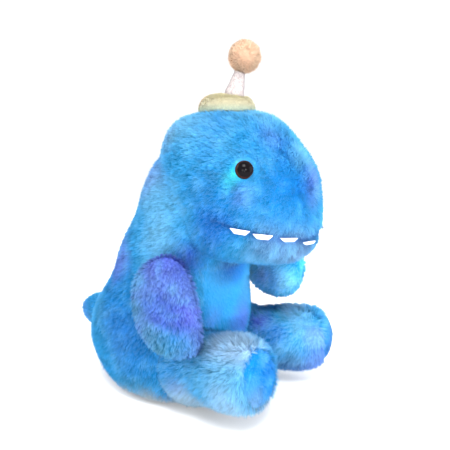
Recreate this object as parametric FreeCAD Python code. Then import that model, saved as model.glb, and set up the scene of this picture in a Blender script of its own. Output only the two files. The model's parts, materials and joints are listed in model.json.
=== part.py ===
import FreeCAD, Part
import math
import os
from FreeCAD import Vector

# Seated plush dinosaur with a small party hat and a light module in its back.
# Millimetres. +Z is up, the toy faces -Y, its own right side is -X.
# The origin is the centre of the flat panel that it sits on.

# ---------------------------------------------------------------- driving dimensions
WALL = 2.0                  # plush fabric, backing and flattened pile together
STUFFING_GAP = 0.2          # between a fabric panel and the stuffing behind it
JOINT_GAP = 0.4             # between pieces that move past each other
OVAL_POINTS = 16            # points that shape one oval section

NECK_Z = 132.0              # level plane where the head turns on the torso
NECK_AXIS_Y = -3.0

# Oval sections: height, centre in Y, half width in X, half depth in Y.
TORSO = [
    (0, 4, 50, 54), (4, 4, 61, 65), (14, 7, 70, 75), (38, 15, 77, 84),
    (70, 15, 77, 84), (100, 7.5, 72, 74.5), (NECK_Z, -2.5, 66, 66.5),
]
NECK = [
    (NECK_Z + JOINT_GAP, -2.5, 66, 66.5), (155, -12.5, 62.5, 66.5), (180, -25, 58, 67.5),
    (210, -35, 51, 66.5), (235, -43, 39, 56), (250, -49, 26, 41),
]
HEAD = [
    (142, -76, 28, 36), (146, -78, 42, 50), (155, -78, 55, 60), (175, -75, 61, 68),
    (198, -69.5, 63, 72.5), (221, -63.5, 62.5, 73), (243, -57, 57, 65), (260, -54, 46.5, 54),
    (269, -54, 35, 40), (275, -54, 16.5, 18),
]

GUSSET_HALF = 15.0          # centre strip that runs over the crown and down the snout
BELLY_HALF = 40.0
MOUTH_FRONT = Vector(0, -143, 166)
MOUTH_SLOPE = 14.0          # degrees that the mouth line rises towards its corners

EYE_AT = Vector(51.6, -101.7, 225)      # left eye, on the fabric
EYE_OUT = Vector(0.74, -0.64, 0.20)     # the way the left eye looks
EYE_RADIUS = 7.5
EYE_HEIGHT = 5.5
EYE_POST_RADIUS = 2.2
EYE_POST_LENGTH = 15.0
EYE_WASHER_RADIUS = 9.0
EYE_WASHER_THICK = 1.5
EYE_WASHER_DEPTH = 5.0

TOOTH_WIDTH = 16.5
TOOTH_DROP = 6.2
TOOTH_THICK = 1.5
TOOTH_ROOT = 1.5            # height of felt above the lip seam
TOOTH_STAND = 0.9           # stands this far off the curved fabric
TOOTH_TIP = 0.54            # width of the blunt tip as a share of the root's
TOOTH_ANGLES = (-66, -50, -31, -13, 13, 31, 50, 66)
SNOUT_Y = -76.0             # the teeth fan out round a line at this depth

# Arm: one bean-shaped paddle, lying along a plane that only touches the flank.
# Sections from the shoulder seam down: distance, shift forward, half width, half thickness.
ARM = [
    (0, -3, 6, 3.5), (5, -4, 15, 7), (16, -5, 24.5, 10.5), (36, -5, 29.5, 12),
    (57, -2, 30.5, 12.5), (74, 3, 27, 11.5), (85, 7, 18, 8), (90, 8, 7, 4),
]
ARM_MIDDLE = 13.3           # from the flank plane to the middle of the arm
FLANK_POINT = Vector(64, -38, 112)
FLANK_YAW = 20.0
FLANK_TILT = 10.0
ARM_ROOT = {"right": (-2.0, 39.0), "left": (-20.0, 2.5)}    # on the flank plane: forward, up
ARM_SWING = {"right": 4.0, "left": 88.0}                   # forward from hanging down

# Leg: a ball at the hip and a stubby tube that ends in an oval sole.
# Sections from the hip: distance, half width, half height.
HIP = Vector(42, -46, 42)
HIP_BALL = 34.0
LEG = [(4, 25, 26), (17, 28.5, 29.5), (34, 31, 31), (52, 31.5, 32), (65, 28.5, 29.5), (74, 22.5, 25)]
LEG_END = (76, 18.5, 22)
LEG_STRETCH = {"right": 1.0, "left": 1.13}
SOLE_THICK = 2.0
LEG_SPLAY = {"right": 8.0, "left": 23.0}
LEG_RISE = {"right": 9.0, "left": 4.0}
HIP_UP = 8.0                # degrees of travel that the hip pocket leaves room for
HIP_DOWN = 3.0

TAIL_ROOT = Vector(0, 84, 50)
TAIL_BALL = 25.0
TAIL = [(6, 20, 20), (18, 20.5, 20.5), (38, 19, 19), (52, 14.5, 14.5), (59, 9, 9), (62, 3.5, 3.5)]
TAIL_RISE = 4.0
TAIL_SWING = 15.0           # degrees to each side

BRIM = [(264, 19), (268, 24), (276, 25), (283, 22), (287.5, 13), (289, 6)]
HAT_Y = -52.0
CONE_BALL = 9.0
CONE_ROOT = Vector(0, -60, 288)
CONE_TOP = Vector(0, -66, 308)
CONE_TOP_RADIUS = 4.6
CONE_WALL = 1.0
CONE_PLAY = 1.6             # gap round the cone's foot, which tips in its socket
POMPOM_RADIUS = 14.3
POMPOM_PLACE = Vector(0, -4.5, 11.6)    # middle of the yarn ball from the tip of the cone
POMPOM_NEST = 7.0           # radius of the hollow that the cone's tip sits in

# Light module behind the closure flap in the back.
CASE_MIN = Vector(-31, 43, 68)
CASE_MAX = Vector(31, 62, 110)
CASE_WALL = 1.8
DOOR_THICK = 1.6
CELL_RADIUS = 5.25
CELL_LENGTH = 44.5
CELL_PITCH = 11.2
CELL_FIRST_Z = 76.0
CELL_X = -26.0
CELL_NUB = 1.0              # length of the raised pole
CONTACT_THICK = 0.9
CONTACT_GAP = 0.1
BOARD_THICK = 1.2
SWITCH_TRAVEL = 3.0
KNOB_AT = Vector(22, 0, 102)
KNOB_HALF = Vector(1.6, 0, 1.5)
KNOB_PLAY = 0.3
KNOB_OUT = 1.4              # stands this far out of the door
KNOB_DEPTH = 2.5
KNOB_RIM = 1.0              # a plate behind the door, wider than the window by this, keeps the knob in
SCREW_AT = Vector(24.5, 0, 90)
SCREW_RADIUS = 1.4
SCREW_LENGTH = 8.0
SCREW_HEAD = 1.2
SLOT_WIDTH = 0.6
SLOT_DEPTH = 0.5
MODULE_PLAY = 0.3
HARDWARE_ROOM = 3.0         # stuffing is left out this far behind the door
FLAP_HALF = 23.0
FLAP_BOTTOM = 74.0
FLAP_TOP = 116.0
FLAP_WALL = 1.6
FLAP_GAP = 1.2
PLACKET_HALF = 18.0         # opening in the back, under the flap
PLACKET_BOTTOM = 80.0
PLACKET_TOP = 108.0
STRIP_WALL = 1.0            # hook and loop strips below the opening
STRIP_BOTTOM = 75.5
STRIP_TOP = 79.5
HOOK_HALF = 20.0
LOOP_HALF = 21.5
BACK_Y = 30.0               # everything in the flap lies behind this
WIRE_RADIUS = 0.8
LED_RADIUS = 2.5
LED_GAP = 0.1
CHEST_LED = Vector(46, -36, 118)        # left one; the right one mirrors it
CHEEK_LED = Vector(50, -92, 206)
TORSO_WIRES = [Vector(0, 20, 112), Vector(0, 8, 116), Vector(0, -4, 124)]
HEAD_WIRES = [Vector(0, -12, 150), Vector(0, -40, 185)]
WIRE_OUTLET_Z = 104.0
WIRE_SPACING = (4.0, 6.0)   # from the middle riser at the outlet and at the bend

X_AXIS = Vector(1, 0, 0)
Y_AXIS = Vector(0, 1, 0)
Z_AXIS = Vector(0, 0, 1)
FAR = 400.0


# ---------------------------------------------------------------- helpers
def oval(centre, across, along, half_across, half_along):
    """A closed smooth oval wire."""
    points = []
    for i in range(OVAL_POINTS):
        turn = 2 * math.pi * i / OVAL_POINTS
        shift = across * (half_across * math.cos(turn)) + along * (half_along * math.sin(turn))
        points.append(centre + shift)
    curve = Part.BSplineCurve()
    curve.interpolate(Points=points, PeriodicFlag=True)
    return Part.Wire([curve.toShape()])


def upright(sections, x=0.0):
    """A solid through level oval sections."""
    wires = [oval(Vector(x, y, z), X_AXIS, Y_AXIS, a, b) for z, y, a, b in sections]
    return Part.makeLoft(wires, True, False)


def straight(start, way, sections):
    """A solid through oval sections that stand across a straight line."""
    side = way.cross(Z_AXIS).normalize()
    rise = side.cross(way).normalize()
    wires = [oval(start + way * d, side, rise, a, b) for d, a, b in sections]
    return Part.makeLoft(wires, True, False)


def shrunk(solid, wall, level=None):
    """The solid, smaller by one wall on every side. A given level keeps its height."""
    box = solid.BoundBox
    centre = box.Center
    height = 1 - 2 * wall / box.ZLength
    if level is not None:
        centre.z = level
        height = 1 - wall / box.ZLength
    matrix = FreeCAD.Matrix()
    matrix.move(centre * -1)
    matrix.scale(1 - 2 * wall / box.XLength, 1 - 2 * wall / box.YLength, height)
    matrix.move(centre)
    return solid.transformGeometry(matrix)


def block(low, high):
    size = high - low
    return Part.makeBox(size.x, size.y, size.z, low)


def slab(x_low, x_high):
    return block(Vector(x_low, -FAR, -FAR), Vector(x_high, FAR, FAR))


def rod(start, end, radius):
    way = end - start
    return Part.makeCylinder(radius, way.Length, start, way)


def wire_run(points, radius):
    """A round wire: straight runs with a ball at each bend."""
    run = rod(points[0], points[1], radius)
    for a, b in zip(points[1:], points[2:]):
        run = run.fuse(Part.makeSphere(radius, a)).fuse(rod(a, b, radius))
    return run


def mirrored(shape):
    return shape.mirror(Vector(0, 0, 0), X_AXIS)


def on_side(shape, side):
    return mirrored(shape) if side == "right" else shape


def save(name, shape):
    shape.exportStep("parts/%s.step" % name)


# ---------------------------------------------------------------- forms shared by several pieces
def hip_point(side):
    return Vector(HIP.x if side == "left" else -HIP.x, HIP.y, HIP.z)


def stretched(sections, side):
    """Leg sections at the distances that they have on one side."""
    return [(d * LEG_STRETCH[side], a, b) for d, a, b in sections]


def leg_way(side, lift=0.0):
    splay = math.radians(LEG_SPLAY[side])
    rise = math.radians(LEG_RISE[side] + lift)
    sign = 1 if side == "left" else -1
    return Vector(sign * math.sin(splay) * math.cos(rise), -math.cos(splay) * math.cos(rise), math.sin(rise))


def hip_pocket(side):
    """Room in the torso for the hip ball and for the thigh over its travel."""
    up = math.sin(math.radians(HIP_UP))
    down = math.sin(math.radians(HIP_DOWN))
    sections = []
    for d, a, b in stretched(LEG[:4], side):
        sections.append((d, a + JOINT_GAP * 1.5, b + JOINT_GAP * 1.5 + d * (up + down) / 2))
    thigh = straight(hip_point(side), leg_way(side, (HIP_UP - HIP_DOWN) / 2), sections)
    return Part.makeSphere(HIP_BALL + JOINT_GAP, hip_point(side)).fuse(thigh)


def flank_frame():
    """Forward, outward and up directions of the plane that touches the left flank."""
    yaw = math.radians(FLANK_YAW)
    tilt = math.radians(FLANK_TILT)
    forward = Vector(-math.sin(yaw), -math.cos(yaw), 0)
    outward = Vector(math.cos(yaw) * math.cos(tilt), -math.sin(yaw) * math.cos(tilt), math.sin(tilt))
    return forward, outward, forward.cross(outward)


def arm_solid(side):
    forward, outward, up = flank_frame()
    swing = math.radians(ARM_SWING[side])
    along = forward * math.sin(swing) - up * math.cos(swing)
    across = forward * math.cos(swing) + up * math.sin(swing)
    shift, rise = ARM_ROOT[side]
    root = FLANK_POINT + forward * shift + up * rise + outward * ARM_MIDDLE
    wires = [oval(root + along * d + across * s, across, outward, a, b) for d, s, a, b in ARM]
    arm = Part.makeLoft(wires, True, False)
    middle = FLANK_POINT + outward * ARM_MIDDLE
    return on_side(arm, side), on_side(half_space(middle, outward), side)


def half_space(point, way):
    """A large block that fills everything on one side of a plane."""
    big = Part.makeBox(2 * FAR, 2 * FAR, FAR, Vector(-FAR, -FAR, 0))
    big.Placement = FreeCAD.Placement(point, FreeCAD.Rotation(Z_AXIS, way))
    return big


def tail_way():
    rise = math.radians(TAIL_RISE)
    return Vector(0, math.cos(rise), math.sin(rise))


def tail_socket():
    """Room in the torso for the ball at the tail's root and for the tail over its swing."""
    sweep = math.sin(math.radians(TAIL_SWING))
    gap = JOINT_GAP * 3
    sections = [(d, a + gap + d * sweep, b + gap + d * sweep / 2) for d, a, b in TAIL[:3]]
    throat = straight(TAIL_ROOT, tail_way(), sections)
    return Part.makeSphere(TAIL_BALL + JOINT_GAP, TAIL_ROOT).fuse(throat)


# ---------------------------------------------------------------- torso
def module_room():
    """Space that the light module and what stands out of its door take in the stuffing."""
    play = Vector(MODULE_PLAY, MODULE_PLAY, MODULE_PLAY)
    inner = block(CASE_MIN - play, CASE_MAX + play)
    reach = block(Vector(CASE_MIN.x, CASE_MAX.y, CASE_MIN.z), CASE_MAX + Vector(0, HARDWARE_ROOM, 0))
    return inner.fuse(reach)


def make_torso():
    skin = upright(TORSO)
    inside = shrunk(skin, WALL, NECK_Z)
    stuffing = shrunk(skin, WALL + STUFFING_GAP, NECK_Z)
    sockets = [hip_pocket("right"), hip_pocket("left"), tail_socket()]
    shell = skin.cut(inside)
    for socket in sockets:
        shell = shell.cut(socket)
        stuffing = stuffing.cut(socket)
    stuffing = stuffing.cut(module_room())

    floor_slab = block(Vector(-FAR, -FAR, -1), Vector(FAR, FAR, WALL))
    above = block(Vector(-FAR, -FAR, WALL), Vector(FAR, FAR, FAR))
    base = shell.common(floor_slab)
    sides = shell.common(above)
    front = block(Vector(-BELLY_HALF, -FAR, -1), Vector(BELLY_HALF, 0, FAR))
    belly = sides.common(front)
    back = sides.cut(front)

    placket = block(Vector(-PLACKET_HALF, 0, PLACKET_BOTTOM), Vector(PLACKET_HALF, FAR, PLACKET_TOP))
    strip_area = block(Vector(-LOOP_HALF, 0, STRIP_BOTTOM), Vector(LOOP_HALF, FAR, STRIP_TOP))
    strip = back.common(strip_area).cut(shrunk(skin, STRIP_WALL, NECK_Z))
    back = back.cut(placket).cut(strip)

    save("base_panel", base)
    save("belly_panel", belly)
    save("back_panel_right", back.common(slab(-FAR, 0)))
    save("back_panel_left", back.common(slab(0, FAR)))
    save("loop_strip", strip)
    save("torso_stuffing", without_leds(stuffing, CHEST_LED))
    return skin


def make_flap(skin):
    """Fabric flap that closes the back, with a strip of hook tape along its lower edge."""
    grown = shrunk(skin, -(FLAP_GAP + FLAP_WALL), NECK_Z)
    inner = shrunk(skin, -FLAP_GAP, NECK_Z)
    area = block(Vector(-FLAP_HALF, BACK_Y, FLAP_BOTTOM), Vector(FLAP_HALF, FAR, FLAP_TOP))
    flap = grown.cut(inner).common(area)
    tape_area = block(Vector(-HOOK_HALF, BACK_Y, STRIP_BOTTOM), Vector(HOOK_HALF, FAR, STRIP_TOP))
    tape = inner.cut(shrunk(skin, -(FLAP_GAP - STRIP_WALL), NECK_Z)).common(tape_area)
    save("flap_panel", flap)
    save("hook_strip", tape)


# ---------------------------------------------------------------- light module
def make_cells(cell_y):
    """Three cells side by side, with a contact plate at each end of each one."""
    contacts = []
    for i in range(3):
        at = Vector(CELL_X, cell_y, CELL_FIRST_Z + i * CELL_PITCH)
        end = at + X_AXIS * CELL_LENGTH
        body = rod(at + X_AXIS * CELL_NUB, end, CELL_RADIUS)
        nub = rod(at, at + X_AXIS * CELL_NUB, CELL_RADIUS / 3)
        save("battery_cell_%d" % (i + 1), body.fuse(nub))
        gap = X_AXIS * CONTACT_GAP
        plate = X_AXIS * (CONTACT_GAP + CONTACT_THICK)
        contacts.append(rod(end + gap, end + plate, CELL_RADIUS * 0.8))
        contacts.append(rod(at - plate, at - gap, CELL_RADIUS * 0.6))
    save("battery_contacts", Part.makeCompound(contacts))


def make_module():
    wall = Vector(CASE_WALL, CASE_WALL, CASE_WALL)
    hollow_high = Vector(CASE_MAX.x - CASE_WALL, FAR, CASE_MAX.z - CASE_WALL)
    shell = block(CASE_MIN, CASE_MAX).cut(block(CASE_MIN + wall, hollow_high))
    door_low = Vector(CASE_MIN.x + CASE_WALL, CASE_MAX.y - DOOR_THICK, CASE_MIN.z + CASE_WALL)
    door_high = Vector(CASE_MAX.x - CASE_WALL, CASE_MAX.y, CASE_MAX.z - CASE_WALL)
    door = block(door_low, door_high)

    cell_y = (CASE_MIN.y + CASE_WALL + CASE_MAX.y - DOOR_THICK) / 2
    make_cells(cell_y)
    board_z = CELL_FIRST_Z + 2 * CELL_PITCH + CELL_RADIUS + BOARD_THICK / 2
    board_low = Vector(CASE_MIN.x + 2 * CASE_WALL, cell_y - CELL_RADIUS, board_z)
    board_high = Vector(KNOB_AT.x - KNOB_DEPTH, cell_y + CELL_RADIUS * 0.8, board_z + BOARD_THICK)
    save("circuit_board", block(board_low, board_high))

    screw_at = SCREW_AT + Y_AXIS * CASE_MAX.y
    screw = rod(screw_at - Y_AXIS * SCREW_LENGTH, screw_at, SCREW_RADIUS)
    screw = screw.fuse(rod(screw_at, screw_at + Y_AXIS * SCREW_HEAD, SCREW_RADIUS * 1.8))
    boss_start = Vector(screw_at.x, CASE_MIN.y + CASE_WALL / 2, screw_at.z)
    boss = rod(boss_start, screw_at - Y_AXIS * DOOR_THICK, SCREW_RADIUS * 2)
    slot_low = screw_at + Vector(-SCREW_RADIUS * 2, SCREW_HEAD - SLOT_DEPTH, -SLOT_WIDTH / 2)
    screw = screw.cut(block(slot_low, slot_low + Vector(SCREW_RADIUS * 4, SCREW_HEAD, SLOT_WIDTH)))
    save("battery_door_screw", screw)

    knob_at = KNOB_AT + Y_AXIS * (CASE_MAX.y - DOOR_THICK)
    play = Vector(KNOB_PLAY, 0, KNOB_PLAY)
    through = Y_AXIS * (DOOR_THICK * 2)
    low = knob_at - KNOB_HALF
    high = knob_at + KNOB_HALF
    window = block(low - play - through, high + play + through + X_AXIS * SWITCH_TRAVEL)
    stem = block(low - Y_AXIS * KNOB_DEPTH, high + Y_AXIS * (DOOR_THICK + KNOB_OUT))
    rim = Z_AXIS * KNOB_RIM
    plate = block(low - rim - Y_AXIS * KNOB_DEPTH, high + rim - Y_AXIS * JOINT_GAP)
    save("slide_switch_knob", stem.fuse(plate))
    save("battery_door", door.cut(window).cut(screw))
    save("module_case", shell.fuse(boss).cut(screw))


def both_sides(place):
    return {"right": Vector(-place.x, place.y, place.z), "left": place}


def toward_led(place, start):
    """Where a wire that comes from start stops, just short of the light."""
    return place + (start - place).normalize() * (LED_RADIUS + LED_GAP)


def make_lights():
    """Light-emitting diodes just under the fabric, and the wires that feed them."""
    outlet = Vector(0, CASE_MIN.y - JOINT_GAP, WIRE_OUTLET_Z)
    wires = []
    for side, place in both_sides(CHEST_LED).items():
        save("chest_led_%s" % side, Part.makeSphere(LED_RADIUS, place))
        aside = X_AXIS if side == "left" else X_AXIS * -1
        bend = TORSO_WIRES[0] + aside * WIRE_SPACING[1]
        wires.append(wire_run([outlet + aside * WIRE_SPACING[0], bend, toward_led(place, bend)], WIRE_RADIUS))
    neck = Vector(0, NECK_AXIS_Y, NECK_Z)
    wires.append(wire_run([outlet] + TORSO_WIRES[1:] + [neck], WIRE_RADIUS))
    save("torso_led_wires", Part.makeCompound(wires))

    joined = wire_run([neck + Z_AXIS * JOINT_GAP] + HEAD_WIRES, WIRE_RADIUS)
    fork = HEAD_WIRES[-1]
    for side, place in both_sides(CHEEK_LED).items():
        save("cheek_led_%s" % side, Part.makeSphere(LED_RADIUS, place))
        joined = joined.fuse(rod(fork, toward_led(place, fork), WIRE_RADIUS))
    save("head_led_wires", joined.fuse(Part.makeSphere(WIRE_RADIUS, fork)))


def without_leds(stuffing, place):
    """The stuffing with a pocket for the light on each side."""
    for at in both_sides(place).values():
        stuffing = stuffing.cut(Part.makeSphere(LED_RADIUS + LED_GAP, at))
    return stuffing


# ---------------------------------------------------------------- head
def mouth_side(upper):
    """Everything above, or below, the sloping plane of the mouth line, ahead of the neck."""
    slope = math.radians(MOUTH_SLOPE)
    normal = Vector(0, -math.sin(slope), math.cos(slope))
    return half_space(MOUTH_FRONT, normal if upper else normal * -1)


def eye_pieces(side):
    out = Vector(EYE_OUT).normalize()
    dome = Part.makeSphere(EYE_RADIUS)
    matrix = FreeCAD.Matrix()
    matrix.scale(1, 1, EYE_HEIGHT / EYE_RADIUS)
    dome = dome.transformGeometry(matrix)
    dome = dome.common(block(Vector(-FAR, -FAR, -1.5), Vector(FAR, FAR, FAR)))
    dome = dome.fuse(Part.makeCylinder(EYE_POST_RADIUS, EYE_POST_LENGTH, Vector(0, 0, -EYE_POST_LENGTH)))
    washer_low = Vector(0, 0, -EYE_WASHER_DEPTH - EYE_WASHER_THICK)
    washer = Part.makeCylinder(EYE_WASHER_RADIUS, EYE_WASHER_THICK, washer_low)
    washer = washer.cut(Part.makeCylinder(EYE_POST_RADIUS, EYE_WASHER_THICK, washer_low))
    place = FreeCAD.Placement(EYE_AT, FreeCAD.Rotation(Z_AXIS, out))
    dome.Placement = place
    washer.Placement = place
    return on_side(dome, side), on_side(washer, side)


def surface_point(solid, centre, way):
    """Where a line from inside the solid leaves it."""
    line = Part.makeLine(centre, centre + way * FAR)
    return max(solid.common(line).Vertexes, key=lambda v: (v.Point - centre).Length).Point


def make_teeth(egg):
    """Felt teeth that hang from the seam of the upper lip, clear of the jaw."""
    slope = math.radians(MOUTH_SLOPE)
    tip = TOOTH_TIP / 2
    outline = [(-0.5, 0.5), (0.5, 0.5), (tip, -0.5), (-tip, -0.5)]
    teeth = []
    for angle in TOOTH_ANGLES:
        turn = math.radians(angle)
        way = Vector(math.sin(turn), -math.cos(turn), 0)
        at = surface_point(egg, Vector(0, SNOUT_Y, MOUTH_FRONT.z), way)
        seam_z = MOUTH_FRONT.z + (at.y - MOUTH_FRONT.y) * math.tan(slope)
        at = surface_point(egg, Vector(0, SNOUT_Y, seam_z), way)
        tangent = Vector(-way.y, way.x, 0)
        points = [tangent * (across * TOOTH_WIDTH) + Z_AXIS * (up * TOOTH_DROP) for across, up in outline]
        tooth = Part.Face(Part.makePolygon(points + points[:1])).extrude(way * TOOTH_THICK)
        tooth.translate(at + way * TOOTH_STAND - Z_AXIS * (TOOTH_DROP / 2 - TOOTH_ROOT))
        teeth.append(tooth)
    save("felt_teeth", Part.makeCompound(teeth))


def make_head():
    egg = upright(HEAD)
    neck = upright(NECK)
    egg_inside = shrunk(egg, WALL)
    neck_box = neck.BoundBox
    neck_inside = shrunk(neck, WALL, neck_box.ZMin)
    stuffing = shrunk(egg, WALL + STUFFING_GAP).fuse(shrunk(neck, WALL + STUFFING_GAP, neck_box.ZMin))
    egg_shell = egg.cut(egg_inside).cut(neck)
    neck_shell = neck.cut(neck_inside).cut(egg)

    upper = egg_shell.common(mouth_side(True))
    jaw = egg_shell.common(mouth_side(False))
    gusset = upper.common(slab(-GUSSET_HALF, GUSSET_HALF))
    for side, low, high in (("right", -FAR, -GUSSET_HALF), ("left", GUSSET_HALF, FAR)):
        eye, washer = eye_pieces(side)
        save("eye_%s" % side, eye)
        save("eye_washer_%s" % side, washer)
        save("head_panel_%s" % side, upper.common(slab(low, high)).cut(eye))
        stuffing = stuffing.cut(eye).cut(washer)
    save("head_gusset", gusset)
    save("jaw_panel", jaw)
    save("neck_panel_right", neck_shell.common(slab(-FAR, 0)))
    save("neck_panel_left", neck_shell.common(slab(0, FAR)))
    save("head_stuffing", without_leds(stuffing, CHEEK_LED))
    make_teeth(egg)
    return egg


# ---------------------------------------------------------------- hat
def make_hat(egg):
    skin = upright([(z, HAT_Y, r, r) for z, r in BRIM])
    stuffing = shrunk(skin, WALL)
    socket = Part.makeSphere(CONE_BALL + CONE_PLAY, CONE_ROOT)
    cover = skin.cut(stuffing).cut(egg).cut(socket)
    save("hat_brim_cover", cover)
    save("hat_brim_stuffing", shrunk(skin, WALL + STUFFING_GAP).cut(egg).cut(socket))

    way = (CONE_TOP - CONE_ROOT).normalize()
    length = (CONE_TOP - CONE_ROOT).Length
    horn = Part.makeCone(CONE_BALL * 0.99, CONE_TOP_RADIUS, length, CONE_ROOT, way)
    horn = horn.fuse(Part.makeSphere(CONE_BALL, CONE_ROOT))
    foam = Part.makeCone(CONE_BALL - CONE_WALL, CONE_TOP_RADIUS - CONE_WALL, length - 2 * CONE_WALL,
                         CONE_ROOT + way * CONE_WALL, way)
    save("hat_cone_cover", horn.cut(foam))
    save("hat_cone_foam", foam)

    centre = CONE_TOP + POMPOM_PLACE
    core = Part.makeSphere(POMPOM_RADIUS / 3, centre)
    save("pompom_core", core)
    nest = Part.makeSphere(POMPOM_NEST, CONE_TOP)
    save("pompom_yarn", Part.makeSphere(POMPOM_RADIUS, centre).cut(core).cut(nest))


# ---------------------------------------------------------------- limbs
def make_arm(side):
    skin, outer = arm_solid(side)
    inside = shrunk(skin, WALL)
    shell = skin.cut(inside)
    save("arm_outer_panel_%s" % side, shell.common(outer))
    save("arm_inner_panel_%s" % side, shell.cut(outer))
    save("arm_stuffing_%s" % side, shrunk(skin, WALL + STUFFING_GAP))


def make_leg(side):
    hip = hip_point(side)
    way = leg_way(side)
    gap = WALL + STUFFING_GAP
    sections = stretched(LEG, side)
    end = LEG_END[0] * LEG_STRETCH[side]
    tip = (end,) + LEG_END[1:]
    skin = straight(hip, way, sections + [tip]).fuse(Part.makeSphere(HIP_BALL, hip))
    inside = straight(hip, way, [(d, a - WALL, b - WALL) for d, a, b in sections])
    inside = inside.fuse(Part.makeSphere(HIP_BALL - WALL, hip))
    padding = straight(hip, way, [(d, a - gap, b - gap) for d, a, b in sections])
    padding = padding.cut(half_space(hip + way * (sections[-1][0] - STUFFING_GAP), way))
    sole_plane = half_space(hip + way * (end - SOLE_THICK), way)
    save("leg_panel_%s" % side, skin.cut(inside).cut(sole_plane))
    save("sole_panel_%s" % side, skin.common(sole_plane))
    save("leg_stuffing_%s" % side, padding.fuse(Part.makeSphere(HIP_BALL - gap, hip)))


def make_tail():
    way = tail_way()
    skin = straight(TAIL_ROOT, way, TAIL).fuse(Part.makeSphere(TAIL_BALL, TAIL_ROOT))
    inside = straight(TAIL_ROOT, way, [(d, a - WALL, b - WALL) for d, a, b in TAIL[:-1]])
    inside = inside.fuse(Part.makeSphere(TAIL_BALL - WALL, TAIL_ROOT))
    gap = WALL + STUFFING_GAP
    padding = straight(TAIL_ROOT, way, [(d, a - gap, b - gap) for d, a, b in TAIL[:-1]])
    shell = skin.cut(inside)
    save("tail_panel_right", shell.common(slab(-FAR, 0)))
    save("tail_panel_left", shell.common(slab(0, FAR)))
    save("tail_stuffing", padding.fuse(Part.makeSphere(TAIL_BALL - gap, TAIL_ROOT)))


def main():
    os.makedirs("parts", exist_ok=True)
    make_flap(make_torso())
    make_module()
    make_lights()
    make_hat(make_head())
    for side in ("right", "left"):
        make_arm(side)
        make_leg(side)
    make_tail()


main()
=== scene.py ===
import json
import math
from itertools import product

import bmesh
import bpy
import numpy as np
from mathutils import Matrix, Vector
from mathutils.bvhtree import BVHTree


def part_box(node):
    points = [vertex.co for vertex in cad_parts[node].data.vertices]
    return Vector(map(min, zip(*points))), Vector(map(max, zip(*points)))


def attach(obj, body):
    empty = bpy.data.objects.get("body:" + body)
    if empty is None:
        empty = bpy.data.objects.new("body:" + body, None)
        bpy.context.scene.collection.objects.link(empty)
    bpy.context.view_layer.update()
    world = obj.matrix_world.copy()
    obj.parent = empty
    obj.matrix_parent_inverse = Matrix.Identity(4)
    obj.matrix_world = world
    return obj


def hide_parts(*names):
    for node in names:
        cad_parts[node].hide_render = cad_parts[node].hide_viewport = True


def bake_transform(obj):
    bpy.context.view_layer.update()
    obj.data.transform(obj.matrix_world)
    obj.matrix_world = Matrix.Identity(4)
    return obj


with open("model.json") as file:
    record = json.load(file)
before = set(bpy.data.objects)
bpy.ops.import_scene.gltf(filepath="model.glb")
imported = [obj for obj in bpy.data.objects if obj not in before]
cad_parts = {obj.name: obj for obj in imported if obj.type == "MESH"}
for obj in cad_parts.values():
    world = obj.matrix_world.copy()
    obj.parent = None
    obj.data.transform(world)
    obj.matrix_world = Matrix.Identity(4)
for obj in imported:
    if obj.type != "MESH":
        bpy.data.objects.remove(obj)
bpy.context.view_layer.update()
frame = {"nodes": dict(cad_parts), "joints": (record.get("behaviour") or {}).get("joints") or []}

MM = 0.001
RANDOM = np.random.default_rng(14)

# ------------------------ driving values
VOXEL = 2.6 * MM            # grid of the stuffed forms
INSET = 2.4 * MM            # the backing cloth lies this far inside the CAD surface
SEAM_DEPTH = 1.2 * MM       # how far a seam draws the cloth in
MOUTH_DEPTH = 2.4 * MM      # the mouth is a deeper seam
TOOTH_SLANT = 0.16          # each tooth hangs a little lower at its front corner
EYE_OUT = (0.74, -0.64, 0.20)   # the way the left eye faces
EYE_RADIUS = 7.5 * MM
STUD_REACH = 11 * MM        # the cloth is held out flat round an eye
LUMP = 1.1 * MM             # unevenness of the stuffing
LUMP_SIZE = 24 * MM
STRAND_AREA = 0.42 * MM**2  # cloth per strand on the arms, legs, tail and flap
STRAND_WIDTH = 0.38 * MM
TUFT = 2.2 * MM             # strands gather into tufts about this wide
PILE = 6.0 * MM             # length of a strand on the body, arms and tail
LONG_PILE = 8.5 * MM        # legs
SHORT_PILE = 4.0 * MM       # belly, soles and base
SWIRL_SIZE = 28 * MM        # the nap swirls over about this distance
DOWN = Vector((0.0, 0.25, -1.0))    # the way the nap hangs
SIDES = ("right", "left")

# ------------------------ colours
# Colours by name. The cyan is painted glow, the navy and dusk are painted shade, and the deep blue is
# partly painted shade.
DYES_AND_PAINTED_LIGHT = {
    "azure": "#22A7E8", "deep_and_painted_shade": "#0A74DA", "cerulean": "#1496E6", "sky": "#7BCDF8",
    "ice": "#B6DAFA", "painted_glow_cyan": "#46DDFB", "lilac": "#93A9F0", "violet": "#6F78F0",
    "indigo": "#4450DE", "painted_shade_navy": "#0A3A96", "teal": "#4A9CC4", "grey_blue": "#5F86B4",
    "periwinkle": "#6C90EA", "mist": "#C2C6C6", "painted_shade_dusk": "#4072BE", "cream": "#E3DEC4",
    "peach": "#F3D3B8", "tan": "#E0C9B0", "mint": "#CDE6D6",
}


def linear(colour):
    """Linear red, green and blue of a '#RRGGBB' colour."""
    parts = [int(colour[i:i + 2], 16) / 255 for i in (1, 3, 5)]
    return [c / 12.92 if c <= 0.04045 else ((c + 0.055) / 1.055) ** 2.4 for c in parts]


def rgba(colour):
    return (*linear(colour), 1)


def tint(name):
    return np.array(linear(DYES_AND_PAINTED_LIGHT[name]))
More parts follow.
